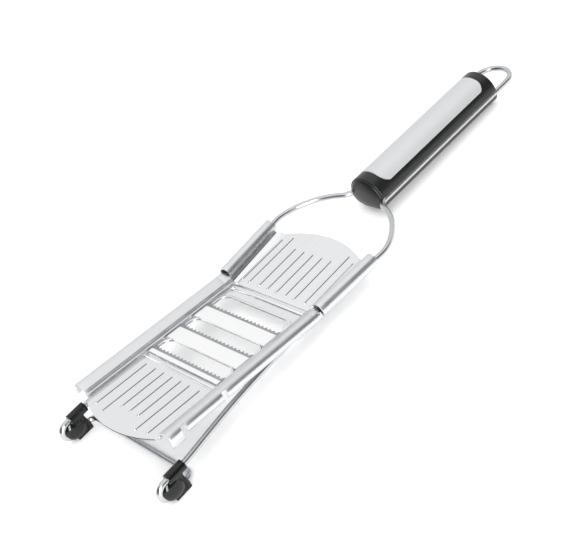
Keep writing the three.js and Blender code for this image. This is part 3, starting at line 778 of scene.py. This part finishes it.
def side_profile(outline, near_y, far_y):
    """A side view in x and z, drawn out between two planes."""
    def make(mesh):
        near = [mesh.verts.new(Vector((x, near_y, z)) * MM) for x, z in outline]
        far = [mesh.verts.new(Vector((x, far_y, z)) * MM) for x, z in outline]
        mesh.faces.new(near)
        mesh.faces.new(far[::-1])
        for index in range(len(outline)):
            after = (index + 1) % len(outline)
            mesh.faces.new((near[after], near[index], far[index], far[after]))
        bmesh.ops.recalc_face_normals(mesh, faces=mesh.faces[:])
    return make


def full_dome(x, z, radii, fullness):
    """An egg whose sides are fuller than an ellipsoid's."""
    def make(mesh):
        made = bmesh.ops.create_uvsphere(mesh, u_segments=48, v_segments=32, radius=1)
        for vert in made["verts"]:
            size = sum(abs(part) ** fullness for part in vert.co) ** (1 / fullness)
            vert.co = Vector([part / size * radius * MM for part, radius in zip(vert.co, radii)])
            vert.co += Vector((x, 0, z)) * MM
    return make


def curved_line(start, end, bow, width):
    """Outline of a bowed line of even width between two places in the side view."""
    near = []
    far = []
    for step in range(9):
        share = step / 8
        x = start[0] + (end[0] - start[0]) * share + bow * math.sin(math.pi * share)
        z = start[1] + (end[1] - start[1]) * share
        near.append((x - width / 2, z))
        far.append((x + width / 2, z))
    return near + far[::-1]


sole_block = [(3, 0.05), (13.9, 0.05), (14.2, 0.4), (14.2, 5.0), (13.3, 9.6), (13.1, 12), (4, 12)]
sleeve_web = [(5, 9), (13.0, 9), (13.4, 12.6), (5, 12.8)]
foot_shapes = [
    tube_along_x(5.1, length=12.2, z=LEG_HEIGHT, radius=SLEEVE_RADIUS),
    side_profile(sole_block, -CHEEK, CHEEK),
    side_profile(sleeve_web, -2.6, 2.6),
    full_dome(5.6, 7.2, radii=(7.6, 4.49, 7.2), fullness=2.15),
]
foot_grooves = []
for line, depth in ((curved_line((9.8, 11.2), (10.6, 1.2), bow=1.6, width=0.7), 0.6),
                    (curved_line((12.0, 10.4), (12.4, 5.6), bow=0.2, width=0.6), 0.5)):
    foot_grooves += [side_profile(line, side * (CHEEK - depth), side * (CHEEK + 3)) for side in (1, -1)]
for side, word in SIDES:
    place = flat @ Matrix.Translation((0, side * FOOT_Y * MM, 0))
    foot = fused_body(word + "_moulded_foot", foot_shapes, foot_grooves, place, glossy_foot)
    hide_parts(word + "_foot")

# ------------------------------------------------------------------------------ handle
# Two shells of black ABS, screwed together from below so that they clamp the rod along their seam.
# Each is modelled closed, because its inside is sealed. A shallow domed cap closes the front end.
HANDLE_X = 228.4 - SHOULDER_X
HANDLE_LENGTH = 121.4
HANDLE_HALF = 13.8
HANDLE_RISE = 14.0
SHELL_EDGE = 0.8        # radius round the ends of the shells
SEAM_LIFT = 0.15        # from the seam to each shell
INLAY_MARGIN = 7.8
INLAY_HALF = 11.5
INLAY_CORNER = 5.5


def moulded_black(name, base, rough, grain_mm, bump):
    """Black ABS straight from the mould: the fine texture of its tool, and faint clouding."""
    material = blank(bpy.data.materials.new(name))
    place = node(material, "ShaderNodeTexCoord"), "Object"
    grain = noise(material, place, grain_mm, detail=2.0, roughness=0.5)
    cloud = noise(material, place, grain_mm=18, detail=3.0, roughness=0.6)
    roughness = remap(material, (cloud, "Fac"), (0.3, 0.7), rough)
    relief = node(material, "ShaderNodeBump", {"Height": (grain, "Fac")},
                  Strength=bump, Distance=0.1 * MM)
    finish_surface(material, {"Roughness": (roughness, "Result"), "Normal": (relief, "Normal")},
                   Base_Color=colour(base))
    return material


satin_abs = moulded_black("spark_textured_black_abs", base=0x0E0F10, rough=(0.26, 0.36),
                          grain_mm=0.45, bump=0.15)
gloss_abs = moulded_black("polished_black_abs", base=0x0A0B0C, rough=(0.08, 0.14),
                          grain_mm=0.8, bump=0.03)


def oval_points(half, depth, fullness, up):
    """Half of the handle's section, from one side of the seam to the other."""
    power = 2 / fullness
    steps = 48
    points = []
    for step in range(steps + 1):
        angle = math.pi * step / steps
        y = math.copysign(abs(math.cos(angle)) ** power, math.cos(angle)) * half
        points.append((y, up * max(math.sin(angle) ** power * depth, SEAM_LIFT)))
    return points


def eased(steps):
    """Shares of a quarter turn's reach, close together where the turn begins."""
    return [1 - math.cos(math.pi / 2 * step / steps) for step in range(steps + 1)]


def shell(name, depth, fullness, up, material):
    """One handle shell as a closed body with rounded ends; up is 1 over the seam, -1 under it."""
    ends = []
    for step in range(7):
        angle = math.pi / 2 * step / 6
        ends.append((HANDLE_X + SHELL_EDGE * (1 - math.cos(angle)), SHELL_EDGE * (1 - math.sin(angle))))
    middle = [(HANDLE_X + HANDLE_LENGTH * step / 20, 0.0) for step in range(1, 20)]
    mirror = [(2 * HANDLE_X + HANDLE_LENGTH - x, inset) for x, inset in reversed(ends)]
    sections = ends + middle + mirror
    points = []
    for x, inset in sections:
        oval = oval_points(HANDLE_HALF - inset, depth - inset, fullness, up)
        points += [(x, y, z) for y, z in oval]
    faces = ring_faces(len(sections), len(oval))
    if up < 0:
        faces = [face[::-1] for face in faces]
    return mesh_piece(name, points, faces, neck_place, material, 40)


def plan_half(x, left, right, half, corner):
    """Half width of a round-cornered plan at a place along it."""
    inward = min(x - left, right - x)
    if inward >= corner:
        return half
    return half - corner + math.sqrt(max(0, corner ** 2 - (corner - inward) ** 2))


def curved_panel(name, margin, low, high, material):
    """Mesh of a panel over the handle's top, between two heights above its surface."""
    left = HANDLE_X + INLAY_MARGIN - margin
    right = HANDLE_X + HANDLE_LENGTH - INLAY_MARGIN + margin
    corner = INLAY_CORNER + margin
    across = 40
    xs = [left + corner * share for share in eased(14)]
    xs += [left + corner + (right - left - 2 * corner) * step / 20 for step in range(1, 20)]
    xs += [right - corner * share for share in reversed(eased(14))]
    points = []
    for lift in (high, low):
        for x in xs:
            half = plan_half(x, left, right, INLAY_HALF + margin, corner)
            for step in range(across + 1):
                y = half * (2 * step / across - 1)
                z = HANDLE_RISE * math.sqrt(1 - (y / HANDLE_HALF) ** 2)
                normal = Vector((0, y / HANDLE_HALF ** 2, z / HANDLE_RISE ** 2)).normalized()
                points.append(Vector((x, y, z)) + normal * lift)
    under = len(points) // 2
    wide = across + 1
    faces = []
    for row in range(len(xs) - 1):
        for step in range(across):
            here = row * wide + step
            faces.append((here, here + wide, here + wide + 1, here + 1))
            faces.append((under + here, under + here + 1, under + here + wide + 1, under + here + wide))
    border = list(range(wide))
    border += [row * wide + across for row in range(1, len(xs))]
    border += [(len(xs) - 1) * wide + step for step in reversed(range(across))]
    border += [row * wide for row in reversed(range(1, len(xs) - 1))]
    for here, there in zip(border, border[1:] + border[:1]):
        faces.append((here, there, under + there, under + here))
    return mesh_of(name, points, faces, material, 50)


def carve(piece, cutter):
    """Cuts one closed shape out of a piece for good and removes the cutter."""
    cut = piece.modifiers.new("cut", "BOOLEAN")
    cut.operation = "DIFFERENCE"
    cut.solver = "EXACT"
    cut.object = cutter
    bpy.context.view_layer.update()
    depsgraph = bpy.context.evaluated_depsgraph_get()
    carved = bpy.data.meshes.new_from_object(piece.evaluated_get(depsgraph))
    carved.name = piece.data.name
    piece.modifiers.clear()
    piece.data = carved
    bpy.data.objects.remove(cutter)
    shaded(carved, 35)


def weld(piece):
    """Merges the points that coincide where a turned shape meets its axis."""
    merge = bmesh.new()
    merge.from_mesh(piece.data)
    bmesh.ops.remove_doubles(merge, verts=merge.verts, dist=0.01 * MM)
    merge.to_mesh(piece.data)
    merge.free()


def drill(x, radius, depth, bottom):
    """A vertical round cutter in the handle's frame."""
    mesh = bmesh.new()
    middle = Matrix.Translation(Vector((x, 0, bottom + depth / 2)) * MM)
    bmesh.ops.create_cone(mesh, cap_ends=True, segments=40, radius1=radius * MM,
                          radius2=radius * MM, depth=depth * MM, matrix=middle)
    data = bpy.data.meshes.new("drill")
    mesh.to_mesh(data)
    mesh.free()
    return placed("drill", data, neck_place)


upper = shell("handle_top_shell", depth=HANDLE_RISE, fullness=2.0, up=1, material=satin_abs)
pocket = curved_panel("inlay_pocket", margin=0.28, low=-0.9, high=3.0, material=satin_abs)
carve(upper, placed("inlay_pocket", pocket, neck_place))
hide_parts("handle_upper_shell")

lower = shell("handle_bottom_shell", depth=HANDLE_DROP, fullness=2.7, up=-1, material=gloss_abs)
SCREW_INSET = 30    # from the handle's ends
screw_places = (("front", HANDLE_X + SCREW_INSET), ("rear", HANDLE_X + HANDLE_LENGTH - SCREW_INSET))
for word, x in screw_places:
    carve(lower, drill(x, radius=3.1, depth=4.0, bottom=-HANDLE_DROP - 1))
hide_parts("handle_lower_shell")

CAP_RINGS = 14
CAP_STEPS = 64
CAP_BULGE = 2.8
CAP_INSET = 1       # from the shells' outline
cap_points = []
cap_faces = []
for ring in range(CAP_RINGS + 1):
    angle = math.pi / 2 * ring / CAP_RINGS
    x = HANDLE_X - 0.05 - CAP_BULGE * math.cos(angle)
    reach = math.sin(angle)
    for step in range(CAP_STEPS):
        turn = 2 * math.pi * step / CAP_STEPS
        rise = (HANDLE_RISE if math.sin(turn) > 0 else HANDLE_DROP) - CAP_INSET
        cap_points.append((x, (HANDLE_HALF - CAP_INSET) * reach * math.cos(turn),
                           rise * reach * math.sin(turn)))
for ring in range(CAP_RINGS):
    for step in range(CAP_STEPS):
        here = ring * CAP_STEPS + step
        turn = ring * CAP_STEPS + (step + 1) % CAP_STEPS
        cap_faces.append((here, here + CAP_STEPS, turn + CAP_STEPS, turn))
cap_faces.append(tuple(range(CAP_RINGS * CAP_STEPS, (CAP_RINGS + 1) * CAP_STEPS)))
cap = mesh_piece("handle_domed_cap", cap_points, cap_faces, neck_place, satin_abs, 60)
weld(cap)
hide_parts("handle_front_cap")

# ------------------------------------------------------------------------------ handle inlay
# A curved plate of 0.8 mm stainless, satin-brushed along the handle and snapped into the shell.
# Its matt clear lacquer scatters the light, so the plate looks evenly pale.
satin_steel = steel("lacquered_satin_stainless", tint=0xC6C7C8, tint_dark=0xBDBEBF, grain_mm=0.5,
                    rough=(0.42, 0.55), bump=0.12, smudge_mm=22, metallic=0.35)
inlay_mesh = curved_panel("handle_steel_inlay", margin=0.0, low=-0.75, high=0.12, material=satin_steel)
inlay = piece_of(inlay_mesh, neck_place)
soften_edges(inlay, 0.15, 60)
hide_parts("handle_inlay")

# ------------------------------------------------------------------------------ handle screws
# Pan-head self-tapping screws of bright stainless, turned as one profile without a thread.
SCREW_SIDES = 32
screw_seat = -HANDLE_DROP + 2.7
screw_profile = [(0, -1.6), (1.4, -1.6), (2.3, -1.3), (2.8, -0.6), (2.8, 0), (1.5, 0), (1.5, 11),
                 (0, 12)]
for word, x in screw_places:
    screw_points = []
    for radius, height in screw_profile:
        for step in range(SCREW_SIDES):
            turn = 2 * math.pi * step / SCREW_SIDES
            screw_points.append((x + radius * math.cos(turn), radius * math.sin(turn),
                                 screw_seat + height))
    screw_faces = ring_faces(len(screw_profile), SCREW_SIDES)[:-2]
    screw = mesh_piece(f"handle_{word}_screw", screw_points, screw_faces, neck_place, polished_rod,
                       40)
    weld(screw)
    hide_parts(f"handle_screw_{word}")

# ------------------------------------------------------------------------------ studio
# White translucent table lit from below, a bright ceiling and far wall, and darker walls on the
# camera's side and beside it, which give the steel its dark lines.
paper = blank(bpy.data.materials.new("lit_white_acrylic_table"))
finish_surface(paper, {}, Base_Color=colour(0xF4F4F4), Roughness=0.9,
               Emission_Color=(1, 1, 1, 1), Emission_Strength=0.17)
floor_mesh = bpy.data.meshes.new("studio_floor")
floor_mesh.from_pydata([(-4, -4, 0), (4, -4, 0), (4, 4, 0), (-4, 4, 0)], [], [(0, 1, 2, 3)])
floor_mesh.materials.append(paper)
floor = placed("studio_floor", floor_mesh, Matrix.Identity(4))

# Each range is a share of the direction along one axis: the two walls begin at the camera's side
# and beside it, and both fade out towards the ceiling.
DARK_WALL = 0.22
world = blank(bpy.data.worlds.new("studio_room"))
bpy.context.scene.world = world
direction = node(world, "ShaderNodeTexCoord")
parts = node(world, "ShaderNodeSeparateXYZ", {"Vector": (direction, "Generated")})
ceiling = remap(world, (parts, "Z"), (0.55, 1.0), (0.98, 1.25))
behind = remap(world, (parts, "Y"), (-0.15, -0.5), shape="SMOOTHSTEP")
beside = remap(world, (parts, "X"), (-0.3, -0.5), shape="SMOOTHSTEP")
low = remap(world, (parts, "Z"), (0.9, 0.72), shape="SMOOTHSTEP")
walls = combined(world, "MAXIMUM", (behind, "Result"), (beside, "Result"))
dark = combined(world, "MULTIPLY", walls, (low, "Result"))
strength = node(world, "ShaderNodeMix", {"Factor": dark, 2: (ceiling, "Result")})
strength.inputs[3].default_value = DARK_WALL
background = node(world, "ShaderNodeBackground", {"Strength": (strength, "Result")},
                  Color=(1, 1, 1, 1))
node(world, "ShaderNodeOutputWorld", {"Surface": (background, "Background")})


def softbox(name, place, size, power, aim=(0, 0, 0)):
    """A rectangular lamp turned towards a point, in metres and watts."""
    data = bpy.data.lights.new(name, "AREA")
    data.shape = "RECTANGLE"
    data.size, data.size_y = size
    data.energy = power
    turn = (Vector(aim) - Vector(place)).to_track_quat("-Z", "Y").to_matrix().to_4x4()
    return placed(name, data, Matrix.Translation(place) @ turn)


# The steel doesn't mirror the two fills, which only light the table and soften the shadows.
overhead = softbox("overhead_fill", place=(0.0, 0.1, 1.6), size=(2.4, 2.4), power=16)
overhead.visible_glossy = False
fill = softbox("camera_side_fill", place=(-0.5, -1.5, 0.9), size=(1.6, 1.0), power=24)
fill.visible_glossy = False
# The strip is only mirrored, as an upright highlight in the feet.
strip = softbox("foot_highlight_strip", place=(-0.65, -0.8, 0.36), size=(0.3, 1.0), power=16,
                aim=(-0.17, 0, 0))
strip.visible_diffuse = False

# The camera looks down on the feet, a little rolled, with the handle at the far right.
camera_data = bpy.data.cameras.new("camera")
camera_data.sensor_fit = "HORIZONTAL"
camera_data.sensor_width = 36
camera_data.lens = 73.8
camera_data.clip_start = 0.01
right = Vector((0.6443, -0.6873, -0.3355))
down = Vector((-0.6449, -0.2524, -0.7214))
forward = Vector((0.4112, 0.6811, -0.6058))
turn = Matrix((right, -down, -forward)).transposed().to_4x4()
camera_place = flat @ Matrix.Translation(Vector((-130.8, -463.3, 434.3)) * MM) @ turn
bpy.context.scene.camera = placed("camera", camera_data, camera_place)
bpy.context.scene.view_settings.view_transform = "Standard"
